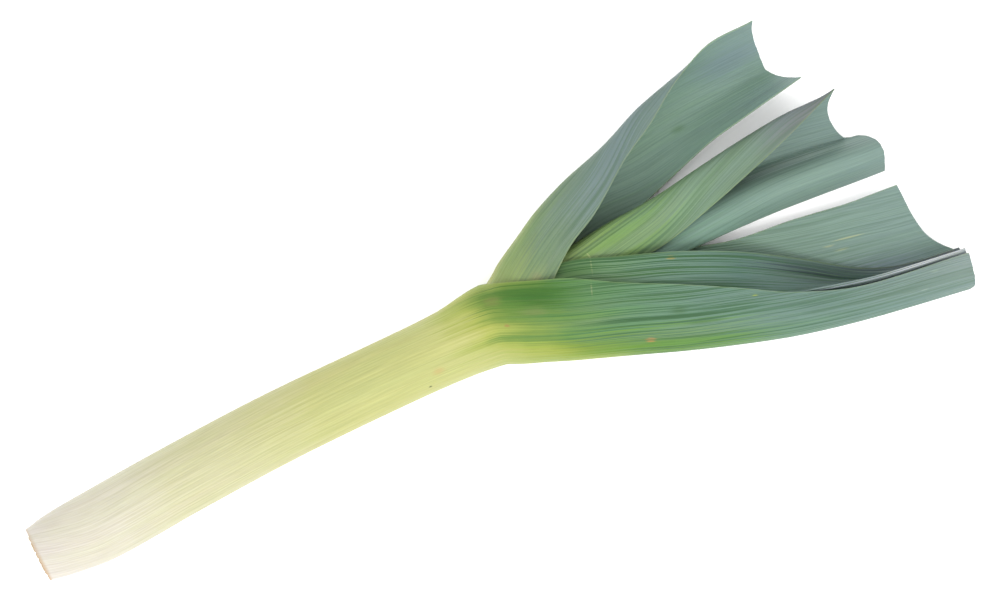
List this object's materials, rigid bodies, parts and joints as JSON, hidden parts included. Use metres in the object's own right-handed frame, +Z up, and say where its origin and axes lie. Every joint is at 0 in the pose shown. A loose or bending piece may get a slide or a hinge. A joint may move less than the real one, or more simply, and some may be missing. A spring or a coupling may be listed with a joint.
{
  "type": "leek",
  "caption": "Trimmed leek lying on its side: a pale shaft of rolled leaf sheaths round a cut root plate, opening into a flat fan of folded green blades cut off at the tips.",
  "frame": {"origin": "middle of the underside of the leek's bounding box, on the surface that it lies on", "axes": "+X along the leek from the cut root end to the leaf tips, +Y across the fan towards the second leaf, +Z up"},
  "size_m": [0.4854, 0.1686, 0.0366],
  "materials": {
    "outer_leaf": "waxy leaf, cream at the root to grey-green at the tip",
    "second_leaf": "waxy grey-green leaf",
    "third_leaf": "waxy dark grey-green leaf with fine streaks",
    "fourth_leaf": "waxy yellow-green leaf",
    "heart_leaf": "moist pale yellow leaf",
    "root_plate": "dried, cut plant tissue"
  },
  "bodies": {
    "root": {"outer_leaf": "outer_leaf", "second_leaf": "second_leaf", "third_leaf": "third_leaf", "fourth_leaf": "fourth_leaf", "heart_leaf": "heart_leaf", "root_plate": "root_plate"}
  },
  "joints": []
}
